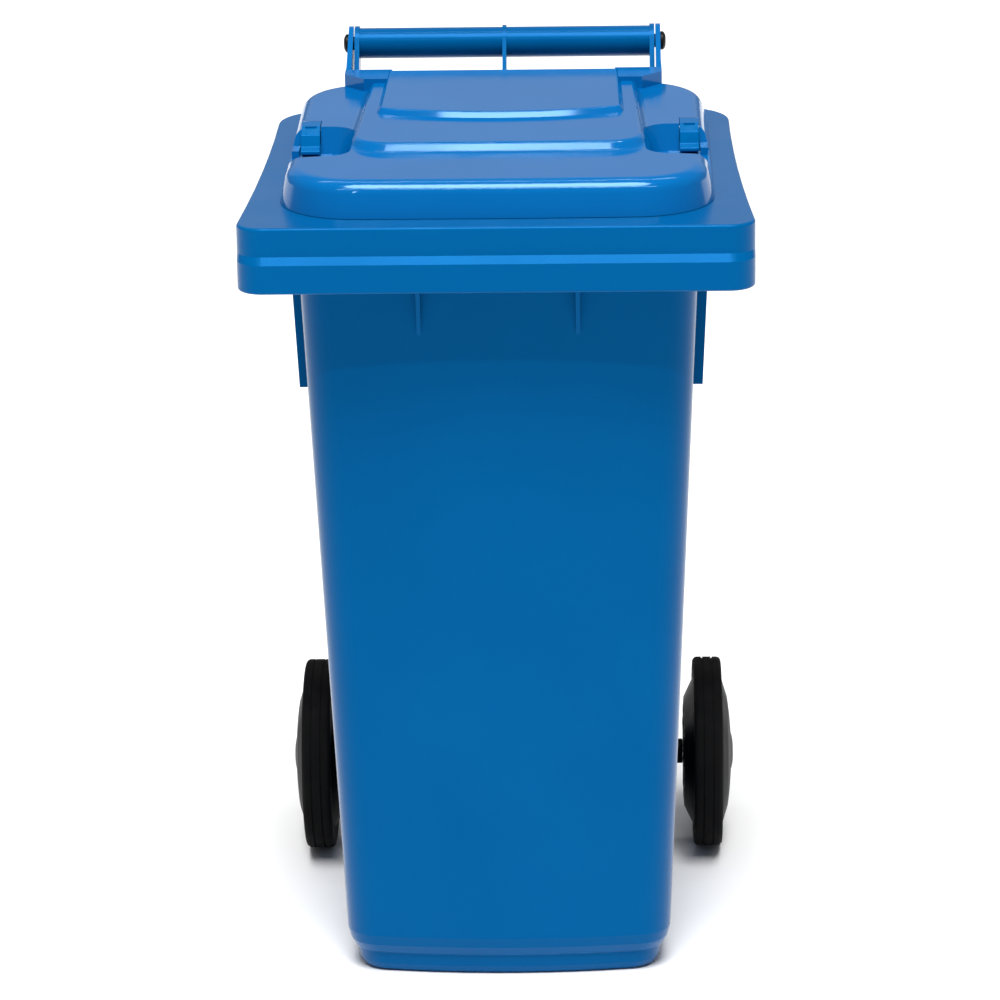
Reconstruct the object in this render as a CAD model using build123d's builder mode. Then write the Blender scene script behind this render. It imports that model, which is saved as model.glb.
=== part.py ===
from build123d import *

import os

# Two-wheeled refuse bin of the 90 litre size, in millimetres.
# The part stands on z = 0 with its bounding box centred on x = 0, y = 0.
# +Z is up, the front faces -Y, and +X is on the right of someone looking at the front.

# ---- whole object
RIM_WIDTH = 480.0            # over the rim at the front
OVERALL_DEPTH = 570.0        # rim's front face to the back of the wheels
WHEEL_RADIUS = 100.0
FRONT = -OVERALL_DEPTH / 2   # y of the rim's front face


def behind(distance):
    """The y of a place that far behind the rim's front face."""
    return FRONT + distance


# ---- rim
RIM_TOP = 802.0
RIM_HALF = RIM_WIDTH / 2 + 1.7    # at the front face, before its corners are rounded
RIM_WAIST_HALF = 231.8       # the sides curve in to this half-width
RIM_WAIST_PLACE = 165.0      # this far behind the front
RIM_REAR_HALF = 226.5
RIM_DEPTH = 468.0
RIM_FRONT_CORNER = 24.0
RIM_REAR_CORNER = 52.0
SKIRT_BOTTOM = RIM_TOP - 62.0
LEDGE_LOW = RIM_TOP - 34.0   # the skirt's lower step ends here
LEDGE_HIGH = RIM_TOP - 27.0  # and its upper step starts here
STEP_BACK = 5.0              # the upper step stands this far back
REAR_SKIRT_BOTTOM = RIM_TOP - 36.0
SKIRT_RISE_START = 235.0     # behind here the skirt gets shallower
SKIRT_RISE_END = 300.0
RIM_TOP_ROUND = 3.0
SKIRT_ROUND = 2.5

# ---- tub
WALL = 4.0
TUB_CORNER = 32.0
TUB_TOP_HALF = 191.5
TUB_BASE_HALF = 159.5
TUB_TOP_FRONT = 68.0
TUB_BASE_FRONT = 111.0
TUB_TOP_REAR = 440.0
TUB_BASE_REAR = 418.0
FRONT_BOW = 13.0
FLOOR_LEVEL = 8.0
# level and inset of each ring of the rounded foot band
FOOT_RINGS = [(0.0, 15.5), (3.0, 12.0), (9.0, 10.0), (22.0, 8.5), (24.0, 6.0), (33.0, 2.2), (44.0, 0.0)]

# ---- ribs under the rim
SIDE_RIB_PLACES = [150.0, 275.0, 400.0]
SIDE_RIB_BOTTOM = 606.0
SIDE_RIB_REACH = 10.0        # how far a side rib stands out of the tub
COMB_RIB_PLACES = [-75.0, 75.0]
COMB_RIB_DROP = 62.0         # below the skirt
RIB_THICKNESS = 4.0

# ---- handle and lid hinge
HANDLE_BACK = 517.0
HANDLE_LEVEL = 859.5
HANDLE_RADIUS = 15.5
BRACKET_RADIUS = 17.5
BRACKET_FOOT = RIM_DEPTH - 1.0   # the handle's brackets stand on the rim's back edge
BRACKET_FOOT_RADIUS = 3.0
WEB_HALF = 2.0               # half the thickness of the web in the middle of the handle
HINGE_BORE = 7.0
BRACKET_INNER = 147.5
BRACKET_OUTER = 152.5
ARM_INNER = 153.5
ARM_OUTER = 158.5
PIN_SHANK = 41.0             # length of a hinge pin inside the handle tube and the arm
PIN_HEAD = 5.3
PIN_HEAD_RADIUS = 9.4
PIN_HEAD_GAP = 0.3           # between the lid's arm and the pin's head
PRESS_GAP = 0.02             # radial gap of a part that is pressed in
ARM_FOOT = 444.0             # the lid's arms grow from here
ARM_FOOT_RADIUS = 6.0
ARM_FOOT_LOW = RIM_TOP + 19.0
ARM_GUSSET_END = 503.0
ARM_GUSSET_DEPTH = 11.0

# ---- axle and wheels
AXLE_BACK = OVERALL_DEPTH - WHEEL_RADIUS
AXLE_LEVEL = WHEEL_RADIUS
AXLE_RADIUS = 10.0
AXLE_HALF = 222.0
AXLE_BRACKETS = [95.0, 150.0]
AXLE_BRACKET_THICKNESS = 8.0
AXLE_EYE_RADIUS = 19.0
AXLE_BRACKET_LOW = 44.0
AXLE_BRACKET_HIGH = 176.0
AXLE_SHELF_LENGTH = 44.0
AXLE_SHELF_DROP = 26.0       # below the axle's centre line
WHEEL_CENTRE = 205.0
HUB_HALF = 25.5
DOME_SHOULDER = 58.0         # radius where the wheel's flat or domed faces turn to the tyre
TYRE_HALF = 15.0
TYRE_SEAT = 78.0
TREAD_GROOVE = 5.0           # the tread's grooves lie this far each side of its middle
TYRE_KEY_HALF = 5.0          # a ring under the tyre's middle keeps it on the rim
TYRE_KEY_HEIGHT = 3.0
TYRE_GAP = 0.05
TYRE_SHOULDER_ROUND = 5.0
TREAD_GROOVE_WIDTH = 1.8
TREAD_GROOVE_DEPTH = 1.5
HUB_BOSS = 27.0
HUB_RECESS = 55.0
HUB_RECESS_DEPTH = 36.0
HUB_RIBS = 8
HUB_RIB_THICKNESS = 3.2
DOME_MIDDLE_RADIUS = 38.0
CAP_NECK_RADIUS = 14.0
CAP_RADIUS = 19.0
CAP_HEIGHT = 2.0
SPACER_RADIUS = 13.0
SPACER_START = 155.0
SPACER_LENGTH = 24.0
RUNNING_GAP = 0.05

# ---- spring lock in each hub: a radial pin that drops into a groove round the axle
LOCK_PLACE = 207.0
LOCK_GROOVE_DEPTH = 3.0
LOCK_GROOVE_WIDTH = 7.0
LOCK_PIN_RADIUS = 2.5
LOCK_CHAMBER_RADIUS = 4.5
LOCK_STOP = 14.0             # all of these are distances from the axle's centre line
LOCK_COLLAR_END = 16.0
LOCK_PLUG_START = 24.0

# ---- lid
LID_GAP = 0.5                # between the lid's edge and the rim
LID_BASE = RIM_TOP + LID_GAP
LID_HALF = 204.2
LID_FRONT = 34.0
LID_REAR = 452.0
LID_BOW = 4.0                # how far the front edge bows out
LID_FRONT_CORNER = 74.0
LID_REAR_CORNER = 74.0
LID_TOP = RIM_TOP + 34.0     # wings and front tier
LID_DRAFT = 8.0              # how far the sides lean in
LID_EDGE_ROUND = 14.0
LID_WALL = 3.5
PANEL_TOP = LID_TOP + 8.0    # first raised tier
CROWN_TOP = LID_TOP + 13.5   # second raised tier
TIER_SINK = 1.0              # each tier starts this far inside the one below it
TIER_REAR = 432.0            # behind here a tier's edges stay sharp
# each tier at its foot and its top: half-width in front and behind, front, back, bow, corner
PANEL_FOOT_SIZES = (144.0, 135.0, 149.0, 437.0, 2.0, 36.0)
PANEL_TOP_SIZES = (138.0, 129.0, 159.0, 434.0, 2.0, 32.0)
CROWN_FOOT_SIZES = (121.0, 118.0, 254.0, 440.0, 20.0, 9.0)
CROWN_TOP_SIZES = (117.0, 114.0, 259.0, 436.0, 20.0, 7.0)
PANEL_ROUND = 6.0
CROWN_ROUND = 2.5
# the blocks at the rear corners that the hinge arms grow from
ARM_BLOCK_INNER = 112.0
ARM_BLOCK_SHOULDER = 139.0
ARM_BLOCK_OUTER = 159.0
ARM_BLOCK_FRONT = 405.0
ARM_BLOCK_BEND = 427.0
ARM_BLOCK_REAR = 446.0
ARM_BLOCK_BASE = LID_BASE + 6.0

# ---- finger pockets and catches in the lid
POCKET_FLOOR = RIM_TOP + 9.0
POCKET_INNER = 149.0
POCKET_REAR = 249.0
POCKET_FRONT_INNER = 153.0
POCKET_FRONT_OUTER = 141.0
POCKET_CORNER = 14.0
POCKET_DRAFT = 20.0
LUG_PLACE = (197.0, 243.0)   # a small lug beside each catch
LUG_SIZE = (7.0, 24.0, 9.0)
CATCH_CENTRE = 183.0
CATCH_WIDTH = 18.0
CATCH_BACK = 271.0
CATCH_LEVEL = LID_TOP - 7.0
CATCH_SLOT_LENGTH = 38.0
CATCH_SLOT_HEIGHT = 30.0
CATCH_BARREL_RADIUS = 5.5
CATCH_DIMPLE_SIZE = (11.0, 2.6, 3.6)
CATCH_PIN_RADIUS = 1.5
CATCH_PIN_REACH = 2.6        # how far the pin goes into the lid on each side
# side view of a catch from its pin: distance behind and above the pin's centre line
CATCH_PROFILE = [
    (7.0, 3.0),
    (5.5, 8.5),
    (-2.0, 9.5),
    (-15.0, 8.0),
    (-25.0, 1.5),
    (-29.5, -9.0),
    (-37.0, -11.5),
    (-37.0, -15.5),
    (-26.0, -15.0),
    (-20.5, -6.0),
    (-13.0, -0.5),
    (0.0, -5.0),
]

SIDES = {"left": -1, "right": 1}


def tub_half(level):
    """Half-width of the tub at a level."""
    return TUB_BASE_HALF + (TUB_TOP_HALF - TUB_BASE_HALF) * level / RIM_TOP


def tub_front(level):
    """How far behind the rim's front the tub's front wall stands at a level."""
    return TUB_BASE_FRONT + (TUB_TOP_FRONT - TUB_BASE_FRONT) * level / RIM_TOP


def tub_rear(level):
    """How far behind the rim's front the tub's back wall stands at a level."""
    return TUB_BASE_REAR + (TUB_TOP_REAR - TUB_BASE_REAR) * level / RIM_TOP


def tub_ring(level, inset):
    """The tub's outline at one level: straight sides and back, and a gently bowed front."""
    half = tub_half(level) - inset
    front = behind(tub_front(level)) + inset
    rear = behind(tub_rear(level)) - inset
    shoulder = front + FRONT_BOW
    with BuildSketch(Plane.XY.offset(level)) as ring:
        with BuildLine():
            Polyline((half, shoulder), (half, rear), (-half, rear), (-half, shoulder))
            ThreePointArc((-half, shoulder), (0, front), (half, shoulder))
        make_face()
        fillet(ring.vertices(), TUB_CORNER - min(inset, WALL))
    return ring.sketch


def rim_outline(level, front, inset):
    """The rim's outline: sides that curve in from the front corners, and large rear corners."""
    with BuildSketch(Plane.XY.offset(level)) as outline:
        with BuildLine():
            Line((inset - RIM_HALF, behind(front)), (RIM_HALF - inset, behind(front)))
            Line(
                (RIM_REAR_HALF - inset, behind(RIM_DEPTH - inset)),
                (inset - RIM_REAR_HALF, behind(RIM_DEPTH - inset)),
            )
            for side in SIDES.values():
                ThreePointArc(
                    (side * (RIM_HALF - inset), behind(front)),
                    (side * (RIM_WAIST_HALF - inset), behind(RIM_WAIST_PLACE)),
                    (side * (RIM_REAR_HALF - inset), behind(RIM_DEPTH - inset)),
                )
        make_face()
        fillet(outline.vertices().sort_by(Axis.Y)[:2], RIM_FRONT_CORNER - inset)
        fillet(outline.vertices().sort_by(Axis.Y)[-2:], RIM_REAR_CORNER - inset)
    return outline.sketch


def side_plane(x):
    """A plane across the part at x, drawn on with (y, z)."""
    return Plane.YZ.offset(x)


def lid_outline(level, inset):
    """The lid's outline: slightly bowed front edge and large corners."""
    half = LID_HALF - inset
    front = behind(LID_FRONT + inset)
    rear = behind(LID_REAR - inset)
    shoulder = front + LID_BOW
    with BuildSketch(Plane.XY.offset(level)) as outline:
        with BuildLine():
            Polyline((half, shoulder), (half, rear), (-half, rear), (-half, shoulder))
            ThreePointArc((-half, shoulder), (0, front), (half, shoulder))
        make_face()
        fillet(outline.vertices().sort_by(Axis.Y)[:2], LID_FRONT_CORNER - inset)
        fillet(outline.vertices().sort_by(Axis.Y)[-2:], LID_REAR_CORNER - inset)
    return outline.sketch


def tier_outline(level, sizes, inset):
    """A raised tier of the lid: narrower at the back, rounded at the front corners."""
    half_front, half_rear, front, rear, bow, corner = sizes
    near = behind(front + inset)
    far = behind(rear - inset)
    with BuildSketch(Plane.XY.offset(level)) as outline:
        with BuildLine():
            Polyline(
                (half_front - inset, near + bow),
                (half_rear - inset, far),
                (inset - half_rear, far),
                (inset - half_front, near + bow),
            )
            ThreePointArc((inset - half_front, near + bow), (0, near), (half_front - inset, near + bow))
        make_face()
        fillet(outline.vertices().sort_by(Axis.Y)[:2], corner)
    return outline.sketch


def pocket_outline(level, side, grow):
    """A finger pocket's outline at one level, open at the lid's outer edge."""
    inner = side * (POCKET_INNER - grow)
    outer = side * (LID_HALF + 20.0)
    with BuildSketch(Plane.XY.offset(level)) as outline:
        with BuildLine():
            Polyline(
                (inner, behind(POCKET_FRONT_INNER - grow)),
                (inner, behind(POCKET_REAR + grow)),
                (outer, behind(POCKET_REAR + grow)),
                (outer, behind(POCKET_FRONT_OUTER - grow)),
                close=True,
            )
        make_face()
        fillet(outline.vertices().sort_by(Axis.X)[:: -side][-2:], POCKET_CORNER + grow)
    return outline.sketch


# =========================================================================== body shell
with BuildPart() as body_shell:
    # the rim: two-step skirt all round, open underneath
    extrude(rim_outline(SKIRT_BOTTOM, 0.0, 0.0), amount=LEDGE_LOW - SKIRT_BOTTOM)
    loft(sections=[rim_outline(LEDGE_LOW, 0.0, 0.0), rim_outline(LEDGE_HIGH, STEP_BACK, 0.0)], ruled=True)
    extrude(rim_outline(LEDGE_HIGH, STEP_BACK, 0.0), amount=RIM_TOP - LEDGE_HIGH)
    fillet(body_shell.edges().group_by(Axis.Z)[-1], RIM_TOP_ROUND)
    fillet(body_shell.edges().group_by(Axis.Z)[0], SKIRT_ROUND)
    extrude(
        rim_outline(SKIRT_BOTTOM, WALL, WALL),
        amount=LEDGE_LOW - SKIRT_BOTTOM,
        mode=Mode.SUBTRACT,
    )
    extrude(
        rim_outline(SKIRT_BOTTOM, STEP_BACK + WALL, WALL),
        amount=RIM_TOP - WALL - SKIRT_BOTTOM,
        mode=Mode.SUBTRACT,
    )
    # the skirt gets shallower towards the back
    with BuildSketch(side_plane(-RIM_HALF - 1)):
        with BuildLine():
            Polyline(
                (behind(SKIRT_RISE_START), SKIRT_BOTTOM - 1),
                (behind(SKIRT_RISE_END), REAR_SKIRT_BOTTOM),
                (behind(RIM_DEPTH + 1), REAR_SKIRT_BOTTOM),
                (behind(RIM_DEPTH + 1), SKIRT_BOTTOM - 1),
                close=True,
            )
        make_face()
    extrude(amount=RIM_WIDTH + 2, mode=Mode.SUBTRACT)

    # the tub, with its rounded foot band
    rings = [tub_ring(level, inset) for level, inset in FOOT_RINGS]
    loft(sections=rings + [tub_ring(RIM_TOP, 0.0)], ruled=True)

    # ribs that stiffen the rim: on the sides, and beside the comb pocket at the front
    for place in SIDE_RIB_PLACES:
        for side in SIDES.values():
            with BuildSketch(Plane.XZ.offset(-behind(place) - RIB_THICKNESS / 2)):
                with BuildLine():
                    Polyline(
                        (side * (tub_half(SIDE_RIB_BOTTOM) + SIDE_RIB_REACH), SIDE_RIB_BOTTOM),
                        (side * (tub_half(RIM_TOP) + SIDE_RIB_REACH + 1), RIM_TOP - WALL),
                        (side * TUB_BASE_HALF, RIM_TOP - WALL),
                        (side * TUB_BASE_HALF, SIDE_RIB_BOTTOM),
                        close=True,
                    )
                make_face()
            extrude(amount=RIB_THICKNESS)
    for place in COMB_RIB_PLACES:
        rib_bottom = SKIRT_BOTTOM - COMB_RIB_DROP
        with BuildSketch(side_plane(place - RIB_THICKNESS / 2)):
            with BuildLine():
                Polyline(
                    (behind(STEP_BACK + WALL / 2), RIM_TOP - WALL),
                    (behind(STEP_BACK + WALL / 2), LEDGE_LOW),
                    (behind(WALL / 2), LEDGE_LOW - STEP_BACK),
                    (behind(WALL / 2), SKIRT_BOTTOM + 6),
                    (behind(tub_front(SKIRT_BOTTOM) - 12), SKIRT_BOTTOM - 2),
                    (behind(tub_front(rib_bottom) + 2), rib_bottom),
                    (behind(tub_front(rib_bottom) + 12), rib_bottom),
                    (behind(tub_front(rib_bottom) + 12), RIM_TOP - WALL),
                    close=True,
                )
            make_face()
        extrude(amount=RIB_THICKNESS)

    # handle: a tube on two end brackets and one thin web in the middle
    with BuildSketch(side_plane(-BRACKET_OUTER)):
        with Locations((behind(HANDLE_BACK), HANDLE_LEVEL)):
            Circle(HANDLE_RADIUS)
    extrude(amount=2 * BRACKET_OUTER)
    webs = [(-BRACKET_OUTER, -BRACKET_INNER), (-WEB_HALF, WEB_HALF), (BRACKET_INNER, BRACKET_OUTER)]
    for start, end in webs:
        with BuildSketch(side_plane(start)):
            with Locations((behind(HANDLE_BACK), HANDLE_LEVEL)):
                Circle(BRACKET_RADIUS)
            with Locations(
                (behind(BRACKET_FOOT), RIM_TOP + 2 * BRACKET_FOOT_RADIUS),
                (behind(BRACKET_FOOT), REAR_SKIRT_BOTTOM + WALL),
            ):
                Circle(BRACKET_FOOT_RADIUS)
            make_hull()
        extrude(amount=end - start)

    # brackets that hold the axle, in pairs joined by a shelf
    for side in SIDES.values():
        for place in AXLE_BRACKETS:
            with BuildSketch(side_plane(side * place - AXLE_BRACKET_THICKNESS / 2)):
                with Locations((behind(AXLE_BACK), AXLE_LEVEL)):
                    Circle(AXLE_EYE_RADIUS)
                with Locations(
                    (behind(TUB_BASE_REAR - 2 * WALL), AXLE_BRACKET_LOW),
                    (behind(TUB_BASE_REAR - 1.5 * WALL), AXLE_BRACKET_HIGH),
                ):
                    Circle(WALL)
                make_hull()
            extrude(amount=AXLE_BRACKET_THICKNESS)
        shelf_start = min(side * AXLE_BRACKETS[0], side * AXLE_BRACKETS[1])
        with BuildSketch(side_plane(shelf_start)):
            with Locations((behind(TUB_BASE_REAR + 3 * WALL), AXLE_LEVEL - AXLE_SHELF_DROP)):
                Rectangle(AXLE_SHELF_LENGTH, WALL)
        extrude(amount=AXLE_BRACKETS[1] - AXLE_BRACKETS[0])

    # the hollow of the tub, and the bores for the hinge pins and the axle
    loft(
        sections=[
            tub_ring(FLOOR_LEVEL, 20.0),
            tub_ring(40.0, WALL + 1),
            tub_ring(RIM_TOP, WALL),
        ],
        ruled=True,
        mode=Mode.SUBTRACT,
    )
    with BuildSketch(side_plane(-BRACKET_OUTER - 1)):
        with Locations((behind(HANDLE_BACK), HANDLE_LEVEL)):
            Circle(HINGE_BORE)
    extrude(amount=2 * BRACKET_OUTER + 2, mode=Mode.SUBTRACT)
    with BuildSketch(side_plane(-RIM_HALF)):
        with Locations((behind(AXLE_BACK), AXLE_LEVEL)):
            Circle(AXLE_RADIUS + PRESS_GAP)
    extrude(amount=RIM_WIDTH, mode=Mode.SUBTRACT)


# =========================================================================== lid shell
def lid_tier(low, high, rounding):
    """A raised tier between two outlines, its top edge rounded except at the back."""
    with BuildPart() as tier:
        loft(sections=[low, high], ruled=True)
        fillet(tier.edges().group_by(Axis.Z)[-1].sort_by(Axis.Y)[:-1], rounding)
    return tier.part


def lid_block(base, inset, lower):
    """The lid's closed form, or its hollow when inset and lower are the wall."""
    with BuildPart() as block:
        loft(
            sections=[lid_outline(base, inset), lid_outline(LID_TOP - lower, inset + LID_DRAFT)],
            ruled=True,
        )
        fillet(block.edges().group_by(Axis.Z)[-1], LID_EDGE_ROUND - inset)
        # two raised tiers, each with rounded front corners, leaning sides and a soft foot
        low = LID_TOP - lower
        mid = PANEL_TOP - lower
        panel_foot = tier_outline(low - TIER_SINK, PANEL_FOOT_SIZES, inset)
        add(lid_tier(panel_foot, tier_outline(mid, PANEL_TOP_SIZES, inset), PANEL_ROUND))
        foot = block.edges().filter_by_position(Axis.Z, low - 0.3, low + 0.3)
        fillet(foot.filter_by_position(Axis.Y, behind(120), behind(TIER_REAR)), PANEL_ROUND)
        crown_foot = tier_outline(mid - TIER_SINK, CROWN_FOOT_SIZES, inset)
        add(lid_tier(crown_foot, tier_outline(CROWN_TOP - lower, CROWN_TOP_SIZES, inset), CROWN_ROUND))
    return block.part


def lid_arm_block(side, inset, lower):
    """The raised block at a rear corner that a hinge arm grows from."""
    with BuildPart() as block:
        with BuildSketch(Plane.XY.offset(ARM_BLOCK_BASE)):
            with BuildLine():
                Polyline(
                    (side * ARM_BLOCK_INNER, behind(ARM_BLOCK_FRONT + inset)),
                    (side * (ARM_BLOCK_SHOULDER - inset), behind(ARM_BLOCK_FRONT + inset)),
                    (side * (ARM_BLOCK_OUTER - inset), behind(ARM_BLOCK_BEND + inset)),
                    (side * (ARM_BLOCK_OUTER - inset), behind(ARM_BLOCK_REAR - inset)),
                    (side * ARM_BLOCK_INNER, behind(ARM_BLOCK_REAR - inset)),
                    close=True,
                )
            make_face()
        extrude(amount=CROWN_TOP - 1 - lower - ARM_BLOCK_BASE)
    return block.part


def lid_pocket(side, grow):
    """A finger pocket, or that pocket grown by the wall."""
    with BuildPart() as pocket:
        extrude(
            pocket_outline(POCKET_FLOOR - grow, side, grow),
            amount=LID_TOP + 4 - POCKET_FLOOR + grow,
            taper=-POCKET_DRAFT,
        )
    return pocket.part


def catch_slot(side, grow):
    """The slot in a wing's front edge that the catch sits in."""
    width = CATCH_WIDTH + 1 + 2 * grow
    with BuildPart() as slot:
        with BuildSketch(side_plane(side * CATCH_CENTRE - width / 2)):
            with Locations((behind(CATCH_BACK - 8), CATCH_LEVEL + 5)):
                Rectangle(CATCH_SLOT_LENGTH + 2 * grow, CATCH_SLOT_HEIGHT + 2 * grow)
        extrude(amount=width)
    return slot.part


# the hollow underneath, which leaves a wall round the pockets and the catch slots
with BuildPart() as lid_hollow:
    add(lid_block(LID_BASE, LID_WALL, LID_WALL))
    for side in SIDES.values():
        add(lid_arm_block(side, LID_WALL, LID_WALL))
        add(lid_pocket(side, LID_WALL), mode=Mode.SUBTRACT)
        add(catch_slot(side, LID_WALL), mode=Mode.SUBTRACT)

with BuildPart() as lid_shell:
    add(lid_block(LID_BASE, 0.0, 0.0))
    for side in SIDES.values():
        add(lid_arm_block(side, 0.0, 0.0))
        add(lid_pocket(side, 0.0), mode=Mode.SUBTRACT)
        add(catch_slot(side, 0.0), mode=Mode.SUBTRACT)
    add(lid_hollow.part, mode=Mode.SUBTRACT)

    # hinge arms: an eye on the handle's axis, and a strut back to the block
    for side in SIDES.values():
        arm_start = min(side * ARM_INNER, side * ARM_OUTER)
        with BuildSketch(side_plane(arm_start)):
            with Locations((behind(HANDLE_BACK), HANDLE_LEVEL)):
                Circle(BRACKET_RADIUS)
            with Locations((behind(ARM_FOOT), CROWN_TOP - 8), (behind(ARM_FOOT), ARM_FOOT_LOW)):
                Circle(ARM_FOOT_RADIUS)
            make_hull()
        extrude(amount=ARM_OUTER - ARM_INNER)
        with BuildSketch(Plane.XY.offset(CROWN_TOP - ARM_GUSSET_DEPTH - 1)):
            with BuildLine():
                Polyline(
                    (side * ARM_INNER, behind(ARM_FOOT + 1)),
                    (side * (ARM_OUTER + 0.5), behind(ARM_FOOT + 1)),
                    (side * ARM_OUTER, behind(ARM_GUSSET_END)),
                    (side * ARM_INNER, behind(ARM_GUSSET_END)),
                    close=True,
                )
            make_face()
        extrude(amount=ARM_GUSSET_DEPTH)
        with Locations((side * LUG_PLACE[0], behind(LUG_PLACE[1]), POCKET_FLOOR + 3)):
            Box(*LUG_SIZE)

    # bores for the hinge pins and the catch pins
    with BuildSketch(side_plane(-RIM_HALF)):
        with Locations((behind(HANDLE_BACK), HANDLE_LEVEL)):
            Circle(HINGE_BORE + RUNNING_GAP)
    extrude(amount=RIM_WIDTH, mode=Mode.SUBTRACT)
    for side in SIDES.values():
        with BuildSketch(side_plane(side * CATCH_CENTRE - CATCH_WIDTH / 2 - CATCH_PIN_REACH)):
            with Locations((behind(CATCH_BACK), CATCH_LEVEL)):
                Circle(CATCH_PIN_RADIUS)
        extrude(amount=CATCH_WIDTH + 2 * CATCH_PIN_REACH, mode=Mode.SUBTRACT)

pieces = {"body_shell": body_shell, "lid_shell": lid_shell}


# =========================================================================== hinge pins and axle
def turning_plane():
    """The plane through the axle's centre line, drawn on with (x, distance from that line)."""
    return Plane(origin=(0, behind(AXLE_BACK), AXLE_LEVEL), x_dir=(1, 0, 0), z_dir=(0, -1, 0))


AXLE_LINE = Axis((0, behind(AXLE_BACK), AXLE_LEVEL), (1, 0, 0))
HINGE_LINE = Axis((0, behind(HANDLE_BACK), HANDLE_LEVEL), (1, 0, 0))

# a pin: plain shank pressed into the handle tube, and a domed head outside the lid's arm
seat = ARM_OUTER + PIN_HEAD_GAP
head_top = seat + PIN_HEAD
for word, side in SIDES.items():
    with BuildPart() as hinge_pin:
        with BuildSketch(Plane(origin=HINGE_LINE.position, x_dir=(1, 0, 0), z_dir=(0, -1, 0))):
            with BuildLine():
                Polyline(
                    (side * head_top, 2.0),
                    (side * head_top, 0),
                    (side * (seat - PIN_SHANK), 0),
                    (side * (seat - PIN_SHANK), HINGE_BORE - 2),
                    (side * (seat - PIN_SHANK + 2), HINGE_BORE - PRESS_GAP),
                    (side * seat, HINGE_BORE - PRESS_GAP),
                    (side * seat, PIN_HEAD_RADIUS),
                    (side * (head_top - 2.6), PIN_HEAD_RADIUS),
                )
                ThreePointArc(
                    (side * (head_top - 2.6), PIN_HEAD_RADIUS),
                    (side * (head_top - 0.6), PIN_HEAD_RADIUS - 2.8),
                    (side * head_top, 2.0),
                )
            make_face()
        revolve(axis=HINGE_LINE)
    pieces[f"hinge_pin_{word}"] = hinge_pin

with BuildPart() as axle:
    with BuildSketch(side_plane(-AXLE_HALF)):
        with Locations((behind(AXLE_BACK), AXLE_LEVEL)):
            Circle(AXLE_RADIUS)
    extrude(amount=2 * AXLE_HALF)
    chamfer(axle.edges().filter_by(GeomType.CIRCLE), 1.2)
    for side in SIDES.values():
        with BuildSketch(turning_plane()):
            with Locations((side * LOCK_PLACE, AXLE_RADIUS)):
                Rectangle(LOCK_GROOVE_WIDTH, 2 * LOCK_GROOVE_DEPTH)
        revolve(axis=AXLE_LINE, mode=Mode.SUBTRACT)
pieces["axle"] = axle

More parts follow.
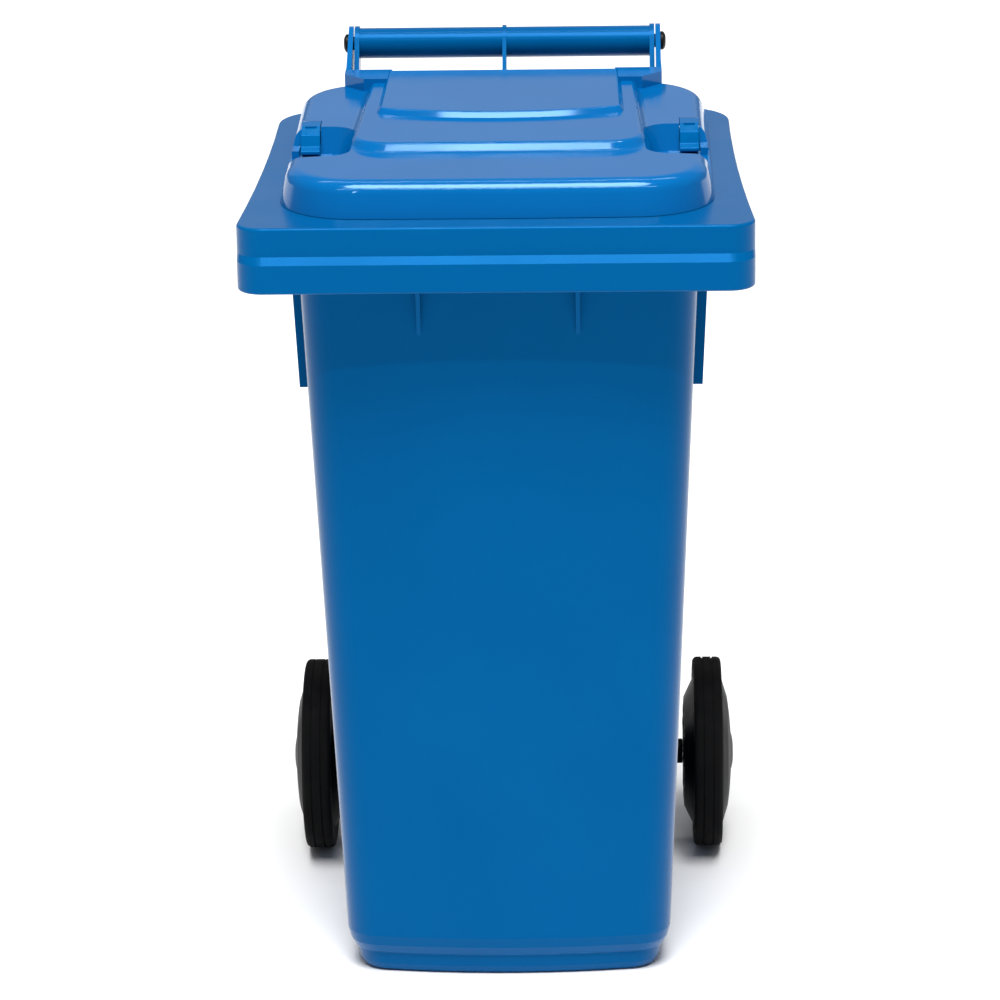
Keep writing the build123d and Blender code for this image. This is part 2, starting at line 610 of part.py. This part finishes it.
# =========================================================================== wheels
for word, side in SIDES.items():
    centre = side * WHEEL_CENTRE
    inner_face = side * (WHEEL_CENTRE - HUB_HALF)
    outer_face = side * (WHEEL_CENTRE + HUB_HALF)

    with BuildPart() as wheel_rim:
        with BuildSketch(turning_plane()):
            with BuildLine():
                Polyline(
                    (outer_face, AXLE_RADIUS + RUNNING_GAP),
                    (inner_face, AXLE_RADIUS + RUNNING_GAP),
                    (inner_face, DOME_SHOULDER - 12),
                    (inner_face + side * 1.0, DOME_SHOULDER),
                    (centre - side * (TYRE_HALF + 1), TYRE_SEAT - 2),
                    (centre - side * TYRE_HALF, TYRE_SEAT),
                    (centre - side * TYRE_KEY_HALF, TYRE_SEAT),
                    (centre - side * TYRE_KEY_HALF, TYRE_SEAT + TYRE_KEY_HEIGHT),
                    (centre + side * TYRE_KEY_HALF, TYRE_SEAT + TYRE_KEY_HEIGHT),
                    (centre + side * TYRE_KEY_HALF, TYRE_SEAT),
                    (centre + side * TYRE_HALF, TYRE_SEAT),
                    (centre + side * (TYRE_HALF + 1), TYRE_SEAT - 2),
                    (outer_face - side * 4.0, DOME_SHOULDER),
                )
                ThreePointArc(
                    (outer_face - side * 4.0, DOME_SHOULDER),
                    (outer_face - side * 1.6, DOME_MIDDLE_RADIUS),
                    (outer_face, AXLE_RADIUS + RUNNING_GAP),
                )
            make_face()
        revolve(axis=AXLE_LINE)
        # the inner side is hollowed between stiffening ribs
        with BuildSketch(Plane(origin=(inner_face, behind(AXLE_BACK), AXLE_LEVEL), z_dir=(side, 0, 0))):
            Circle(HUB_RECESS)
            Circle(HUB_BOSS, mode=Mode.SUBTRACT)
            with PolarLocations((HUB_BOSS + HUB_RECESS) / 2, HUB_RIBS, start_angle=180 / HUB_RIBS):
                Rectangle(HUB_RECESS - HUB_BOSS + 6, HUB_RIB_THICKNESS, mode=Mode.SUBTRACT)
        extrude(amount=HUB_RECESS_DEPTH, mode=Mode.SUBTRACT)
        # counterbore for the hub cap
        with BuildSketch(side_plane(side * AXLE_HALF)):
            with Locations((behind(AXLE_BACK), AXLE_LEVEL)):
                Circle(CAP_NECK_RADIUS)
        extrude(amount=side * HUB_HALF, mode=Mode.SUBTRACT)
        # the lock pin's stepped pocket, up from the bore
        with BuildSketch(Plane.XY.offset(AXLE_LEVEL)):
            with Locations((side * LOCK_PLACE, behind(AXLE_BACK))):
                Circle(LOCK_PIN_RADIUS + 0.06)
        extrude(amount=LOCK_STOP, mode=Mode.SUBTRACT)
        with BuildSketch(Plane.XY.offset(AXLE_LEVEL + LOCK_STOP - 0.1)):
            with Locations((side * LOCK_PLACE, behind(AXLE_BACK))):
                Circle(LOCK_CHAMBER_RADIUS)
        extrude(amount=HUB_BOSS + 1 - LOCK_STOP, mode=Mode.SUBTRACT)
    pieces[f"wheel_rim_{word}"] = wheel_rim

    tyre_bore = TYRE_SEAT + TYRE_GAP
    key_half = TYRE_KEY_HALF + TYRE_GAP
    with BuildPart() as tyre:
        with BuildSketch(turning_plane()) as tread:
            with BuildLine():
                Polyline(
                    (centre - side * TYRE_HALF, tyre_bore),
                    (centre - side * TYRE_HALF, WHEEL_RADIUS),
                    (centre + side * TYRE_HALF, WHEEL_RADIUS),
                    (centre + side * TYRE_HALF, tyre_bore),
                    (centre + side * key_half, tyre_bore),
                    (centre + side * key_half, tyre_bore + TYRE_KEY_HEIGHT),
                    (centre - side * key_half, tyre_bore + TYRE_KEY_HEIGHT),
                    (centre - side * key_half, tyre_bore),
                    close=True,
                )
            make_face()
            fillet(tread.vertices().group_by(Axis.Y)[-1], TYRE_SHOULDER_ROUND)
            with Locations((centre - TREAD_GROOVE, WHEEL_RADIUS), (centre + TREAD_GROOVE, WHEEL_RADIUS)):
                Rectangle(TREAD_GROOVE_WIDTH, 2 * TREAD_GROOVE_DEPTH, mode=Mode.SUBTRACT)
        revolve(axis=AXLE_LINE)
    pieces[f"tyre_{word}"] = tyre

    with BuildPart() as hub_cap:
        with BuildSketch(turning_plane()):
            with BuildLine():
                Polyline(
                    (outer_face + side * CAP_HEIGHT, 3.0),
                    (outer_face + side * CAP_HEIGHT, 0),
                    (side * (AXLE_HALF + 0.5), 0),
                    (side * (AXLE_HALF + 0.5), CAP_NECK_RADIUS - 0.05),
                    (outer_face + side * 0.1, CAP_NECK_RADIUS - 0.05),
                    (outer_face + side * 0.1, CAP_RADIUS),
                )
                ThreePointArc(
                    (outer_face + side * 0.1, CAP_RADIUS),
                    (outer_face + side * 0.8 * CAP_HEIGHT, 12.0),
                    (outer_face + side * CAP_HEIGHT, 3.0),
                )
            make_face()
        revolve(axis=AXLE_LINE)
    pieces[f"hub_cap_{word}"] = hub_cap

    with BuildPart() as spacer:
        with BuildSketch(side_plane(side * SPACER_START)):
            with Locations((behind(AXLE_BACK), AXLE_LEVEL)):
                Circle(SPACER_RADIUS)
                Circle(AXLE_RADIUS + RUNNING_GAP, mode=Mode.SUBTRACT)
        extrude(amount=side * SPACER_LENGTH)
        chamfer(spacer.edges().filter_by(GeomType.CIRCLE).group_by(SortBy.RADIUS)[-1], 0.8)
    pieces[f"spacer_{word}"] = spacer

    # the lock: pin with a collar, spring and closing plug, one above the other
    lock_plane = Plane(origin=(side * LOCK_PLACE, behind(AXLE_BACK), AXLE_LEVEL))
    with BuildPart() as lock_pin:
        for start, end, radius in [
            (AXLE_RADIUS - LOCK_GROOVE_DEPTH + 0.4, LOCK_STOP, LOCK_PIN_RADIUS),
            (LOCK_STOP, LOCK_COLLAR_END, LOCK_CHAMBER_RADIUS - 0.2),
            (LOCK_COLLAR_END, LOCK_COLLAR_END + 3, 1.5),
        ]:
            with BuildSketch(lock_plane.offset(start)):
                Circle(radius)
            extrude(amount=end - start)
        chamfer(lock_pin.edges().group_by(Axis.Z)[0], 0.8)
    pieces[f"lock_pin_{word}"] = lock_pin

    spring_height = LOCK_PLUG_START - LOCK_COLLAR_END - 1.0
    with BuildPart() as lock_spring:
        with BuildLine(lock_plane.offset(LOCK_COLLAR_END + 0.5)):
            coil = Helix(pitch=spring_height / 4, height=spring_height, radius=3.1)
        with BuildSketch(Plane(origin=coil @ 0, z_dir=coil % 0)):
            Circle(0.4)
        sweep(path=coil)
    pieces[f"lock_spring_{word}"] = lock_spring

    with BuildPart() as lock_plug:
        with BuildSketch(lock_plane.offset(LOCK_PLUG_START)):
            Circle(LOCK_CHAMBER_RADIUS - PRESS_GAP)
        extrude(amount=HUB_BOSS - LOCK_PLUG_START - 0.6)
    pieces[f"lock_plug_{word}"] = lock_plug

# =========================================================================== catches on the lid
for word, side in SIDES.items():
    start = side * CATCH_CENTRE - CATCH_WIDTH / 2

    # a lever: barrel on the pin, a plate that curves down over the pocket, and a lip to lift it by
    with BuildPart() as catch:
        with BuildSketch(side_plane(start)) as lever:
            with BuildLine():
                Polyline(
                    *[(behind(CATCH_BACK + back), CATCH_LEVEL + up) for back, up in CATCH_PROFILE],
                    close=True,
                )
            make_face()
            fillet(lever.vertices(), 1.6)
            with Locations((behind(CATCH_BACK), CATCH_LEVEL)):
                Circle(CATCH_BARREL_RADIUS)
                Circle(CATCH_PIN_RADIUS + RUNNING_GAP, mode=Mode.SUBTRACT)
        extrude(amount=CATCH_WIDTH)
        with Locations((side * CATCH_CENTRE, behind(CATCH_BACK - 16.5), CATCH_LEVEL + 8.0)):
            Box(*CATCH_DIMPLE_SIZE, mode=Mode.SUBTRACT)
    pieces[f"catch_{word}"] = catch

    with BuildPart() as catch_pin:
        with BuildSketch(side_plane(start - CATCH_PIN_REACH)):
            with Locations((behind(CATCH_BACK), CATCH_LEVEL)):
                Circle(CATCH_PIN_RADIUS - 0.01)
        extrude(amount=CATCH_WIDTH + 2 * CATCH_PIN_REACH)
    pieces[f"catch_pin_{word}"] = catch_pin

# =========================================================================== output
os.makedirs("parts", exist_ok=True)
for name, piece in pieces.items():
    piece.part.label = name
    export_step(piece.part, f"parts/{name}.step")
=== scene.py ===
import bpy
import math
from mathutils import Matrix, Vector


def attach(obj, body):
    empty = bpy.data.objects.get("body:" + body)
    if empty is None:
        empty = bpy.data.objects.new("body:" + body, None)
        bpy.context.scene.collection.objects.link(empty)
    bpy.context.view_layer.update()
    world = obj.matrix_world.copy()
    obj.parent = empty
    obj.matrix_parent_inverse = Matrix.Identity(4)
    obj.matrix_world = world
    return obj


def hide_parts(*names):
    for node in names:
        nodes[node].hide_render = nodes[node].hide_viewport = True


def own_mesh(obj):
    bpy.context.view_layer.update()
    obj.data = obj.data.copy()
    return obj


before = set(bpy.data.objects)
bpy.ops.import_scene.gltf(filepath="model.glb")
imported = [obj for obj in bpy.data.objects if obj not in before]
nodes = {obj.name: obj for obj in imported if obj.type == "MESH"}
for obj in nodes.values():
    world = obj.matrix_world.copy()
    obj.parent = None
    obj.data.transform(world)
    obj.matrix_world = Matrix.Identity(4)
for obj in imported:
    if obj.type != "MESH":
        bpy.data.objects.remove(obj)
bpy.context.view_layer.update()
scene = bpy.context.scene
MM = 0.001

# the camera looks down at the front from a little above the lid, and almost straight on
CAMERA_PLACE = (0.1020, -4.3022, 1.8834)
CAMERA_YAW = -1.44
CAMERA_PITCH = -18.49
CAMERA_ROLL = -0.88
CAMERA_LENS = 163.2

# the studio: a bright floor, a dim surround and the lamps' strengths
FLOOR_REACH = 30.0
FLOOR_LEVEL = -0.5 * MM
FLOOR_WHITE = (0.95, 0.95, 0.95, 1.0)
SURROUND = 0.17
KEY_STRENGTH = 4.3
KEY_SPREAD = 30.0
BACK_PANEL_POWER = 9.0
FRONT_STRIP_POWER = 16.0
REAR_STRIP_POWER = 12.0
STRIP_LENGTH = 2.6
STRIP_WIDTH = 0.05
LID_MIDDLE = (0.0, -0.2, 0.85)


# ---------------------------------------------------------------- camera
def aim(location, yaw, pitch, roll):
    """The camera's matrix, from angles in degrees.

    Yaw turns it from +Y towards +X, pitch is up, and roll tips its top to the right.
    """
    yaw, pitch, roll = (math.radians(angle) for angle in (yaw, pitch, roll))
    forward = Vector((math.sin(yaw) * math.cos(pitch), math.cos(yaw) * math.cos(pitch), math.sin(pitch)))
    level = Vector((math.cos(yaw), -math.sin(yaw), 0.0))
    upright = level.cross(forward)
    right = level * math.cos(roll) + upright * math.sin(roll)
    up = upright * math.cos(roll) - level * math.sin(roll)
    turn = Matrix((right, up, -forward)).transposed()
    return Matrix.Translation(location) @ turn.to_4x4()


camera = bpy.data.objects.new("camera", bpy.data.cameras.new("camera"))
scene.collection.objects.link(camera)
scene.camera = camera
camera.data.sensor_width = 36.0
camera.data.lens = CAMERA_LENS
camera.data.clip_end = 60.0
camera.matrix_world = aim(CAMERA_PLACE, CAMERA_YAW, CAMERA_PITCH, CAMERA_ROLL)
scene.view_settings.view_transform = "Standard"


# ---------------------------------------------------------------- materials
def noise(tree, scale, detail, roughness=0.5, stretch=(1.0, 1.0, 1.0)):
    """A noise pattern fixed to the piece, scale in cycles per metre, with its own stretch."""
    place = tree.nodes.new("ShaderNodeTexCoord")
    mapping = tree.nodes.new("ShaderNodeMapping")
    mapping.inputs["Scale"].default_value = stretch
    pattern = tree.nodes.new("ShaderNodeTexNoise")
    pattern.inputs["Scale"].default_value = scale
    pattern.inputs["Detail"].default_value = detail
    pattern.inputs["Roughness"].default_value = roughness
    tree.links.new(place.outputs["Object"], mapping.inputs["Vector"])
    tree.links.new(mapping.outputs["Vector"], pattern.inputs["Vector"])
    return pattern.outputs["Fac"]


def spread(tree, value, low, high):
    """A pattern's middle range stretched to run from low to high."""
    remap = tree.nodes.new("ShaderNodeMapRange")
    remap.inputs["From Min"].default_value = 0.3
    remap.inputs["From Max"].default_value = 0.7
    remap.inputs["To Min"].default_value = low
    remap.inputs["To Max"].default_value = high
    tree.links.new(value, remap.inputs["Value"])
    return remap.outputs["Result"]


def blend(tree, value, first, second):
    """Two colours mixed by a pattern."""
    mix = tree.nodes.new("ShaderNodeMix")
    mix.data_type = "RGBA"
    mix.inputs["A"].default_value = (*first, 1.0)
    mix.inputs["B"].default_value = (*second, 1.0)
    tree.links.new(value, mix.inputs["Factor"])
    return mix.outputs["Result"]


def relief(tree, heights):
    """Bumps one on top of another: each is a pattern and its height in metres."""
    normal = None
    for value, height in heights:
        bump = tree.nodes.new("ShaderNodeBump")
        bump.inputs["Strength"].default_value = 1.0
        bump.inputs["Distance"].default_value = height
        tree.links.new(value, bump.inputs["Height"])
        if normal is not None:
            tree.links.new(normal, bump.inputs["Normal"])
        normal = bump.outputs["Normal"]
    return normal


def surface(name, colours, roughness, cloud, grain, fixed):
    """A material whose colour, roughness and relief vary.

    colours are the two that its base colour moves between, and roughness its lowest and highest.
    cloud is the broad pattern's scale and its height, grain the fine one's,
    and fixed holds the shader's values that are the same all over.
    """
    material = bpy.data.materials.new(name)
    material.use_nodes = True
    tree = material.node_tree
    shader = tree.nodes["Principled BSDF"]
    broad = noise(tree, cloud[0], 4.0)
    fine = noise(tree, grain[0], 2.0)
    streaks = noise(tree, cloud[0] * 3, 3.0, stretch=(1.0, 1.0, 0.15))
    tree.links.new(blend(tree, spread(tree, broad, 0.0, 1.0), *colours), shader.inputs["Base Color"])
    tree.links.new(spread(tree, streaks, *roughness), shader.inputs["Roughness"])
    tree.links.new(relief(tree, [(broad, cloud[1]), (fine, grain[1])]), shader.inputs["Normal"])
    for key, value in fixed.items():
        shader.inputs[key].default_value = value
    return material


# the tint keeps head-on reflections blue, while grazing ones stay white
POLYTHENE = {"Specular Tint": (0.03, 0.3, 0.8, 1.0), "IOR": 1.38}
GLOSSY_POLYTHENE = {"Specular Tint": (0.4, 0.7, 1.0, 1.0), "IOR": 1.5}
blue_body = surface(
    "blue_polythene_body",
    ((0.0, 0.080, 0.240), (0.0001, 0.087, 0.256)),
    (0.19, 0.26),
    (7.0, 0.5 * MM),
    (900.0, 0.012 * MM),
    POLYTHENE,
)
# the lid's blue is the polythene's own colour, set lighter than the body's as painted light: it stands
# in for the brighter look of the lid's up-facing tops
lid_blue_and_painted_light = surface(
    "blue_polythene_lid",
    ((0.0, 0.104, 0.322), (0.0001, 0.112, 0.342)),
    (0.08, 0.13),
    (6.0, 0.3 * MM),
    (1100.0, 0.008 * MM),
    GLOSSY_POLYTHENE,
)
blue_catch = surface(
    "blue_polythene_catch",
    ((0.0, 0.094, 0.280), (0.0001, 0.107, 0.310)),
    (0.15, 0.24),
    (40.0, 0.05 * MM),
    (1600.0, 0.004 * MM),
    POLYTHENE,
)
black_wheel = surface(
    "black_wheel_plastic",
    ((0.0030, 0.0028, 0.0038), (0.0050, 0.0048, 0.0056)),
    (0.38, 0.52),
    (18.0, 0.10 * MM),
    (1100.0, 0.015 * MM),
    {"Specular IOR Level": 0.12, "IOR": 1.25},
)
black_pin = surface(
    "black_pin_plastic",
    ((0.006, 0.006, 0.006), (0.010, 0.010, 0.010)),
    (0.30, 0.42),
    (60.0, 0.03 * MM),
    (1800.0, 0.004 * MM),
    {"Specular IOR Level": 0.2, "IOR": 1.3},
)
rubber = surface(
    "black_rubber",
    ((0.0045, 0.0045, 0.0052), (0.0075, 0.0075, 0.0075)),
    (0.58, 0.78),
    (25.0, 0.10 * MM),
    (1400.0, 0.03 * MM),
    {"Specular IOR Level": 0.12, "IOR": 1.25},
)
zinc = surface(
    "zinc_plated_steel",
    ((0.50, 0.50, 0.52), (0.62, 0.62, 0.63)),
    (0.26, 0.42),
    (70.0, 0.02 * MM),
    (2200.0, 0.004 * MM),
    {"Metallic": 1.0},
)

LOOKS = [
    ("body_shell", blue_body),
    ("lid_shell", lid_blue_and_painted_light),
    ("catch_pin", zinc),
    ("catch", blue_catch),
    ("hinge_pin", black_pin),
    ("axle", zinc),
    ("lock_pin", zinc),
    ("lock_spring", zinc),
    ("lock_plug", black_pin),
    ("hub_cap", black_pin),
    ("tyre", rubber),
    ("wheel_rim", black_wheel),
    ("spacer", black_wheel),
]
for name, node in nodes.items():
    chosen = next(look for start, look in LOOKS if name.startswith(start))
    node.data.materials.clear()
    node.data.materials.append(chosen)


# ---------------------------------------------------------------- lock springs copied onto the wheels
def closing_spring(side):
    """A copy of the lock spring on its own mesh, attached to its wheel, in place of the spring node,
    which is hidden.
    """
    name = f"lock_spring_{side}"
    spring = bpy.data.objects.new(f"{name}_coil", nodes[name].data.copy())
    scene.collection.objects.link(spring)
    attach(spring, f"wheel_{side}")
    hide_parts(name)
    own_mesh(spring)


closing_spring("left")
closing_spring("right")


# ---------------------------------------------------------------- stage and light
floor_mesh = bpy.data.meshes.new("floor")
corners = [(-1, -1), (1, -1), (1, 1), (-1, 1)]
floor_mesh.from_pydata(
    [(x * FLOOR_REACH, y * FLOOR_REACH, FLOOR_LEVEL) for x, y in corners], [], [(0, 1, 2, 3)]
)
floor = bpy.data.objects.new("floor", floor_mesh)
scene.collection.objects.link(floor)
paint = bpy.data.materials.new("pale_floor")
paint.use_nodes = True
paint.node_tree.nodes["Principled BSDF"].inputs["Base Color"].default_value = FLOOR_WHITE
paint.node_tree.nodes["Principled BSDF"].inputs["Roughness"].default_value = 0.9
floor_mesh.materials.append(paint)

world = bpy.data.worlds.new("studio")
scene.world = world
world.use_nodes = True
world.node_tree.nodes["Background"].inputs["Color"].default_value = (1.0, 1.0, 1.0, 1.0)
world.node_tree.nodes["Background"].inputs["Strength"].default_value = SURROUND


def lamp(name, kind, location, target, power):
    """A lamp that faces a target."""
    data = bpy.data.lights.new(name, kind)
    data.energy = power
    made = bpy.data.objects.new(name, data)
    scene.collection.objects.link(made)
    made.location = location
    made.rotation_euler = (Vector(target) - Vector(location)).to_track_quat("-Z", "Y").to_euler()
    return data


def strip(name, location, target, width, depth, power):
    """A long rectangular lamp."""
    data = lamp(name, "AREA", location, target, power)
    data.shape = "RECTANGLE"
    data.size = width
    data.size_y = depth


# a broad key from high in front, a white panel behind that the flat tops reflect,
# and two strips that draw thin highlights along the edges
key = lamp("key", "SUN", (0.0, -1.0, 2.475), (0.0, 0.0, 0.0), KEY_STRENGTH)
key.angle = math.radians(KEY_SPREAD)
strip("back_panel", (0.0, 3.6, 2.3), (0.0, 0.0, 0.8), 6.0, 2.2, BACK_PANEL_POWER)
strip("front_strip", (0.0, -1.75, 2.45), LID_MIDDLE, STRIP_LENGTH, STRIP_WIDTH, FRONT_STRIP_POWER)
strip("rear_strip", (0.0, 0.5, 2.8), LID_MIDDLE, STRIP_LENGTH, STRIP_WIDTH, REAR_STRIP_POWER)
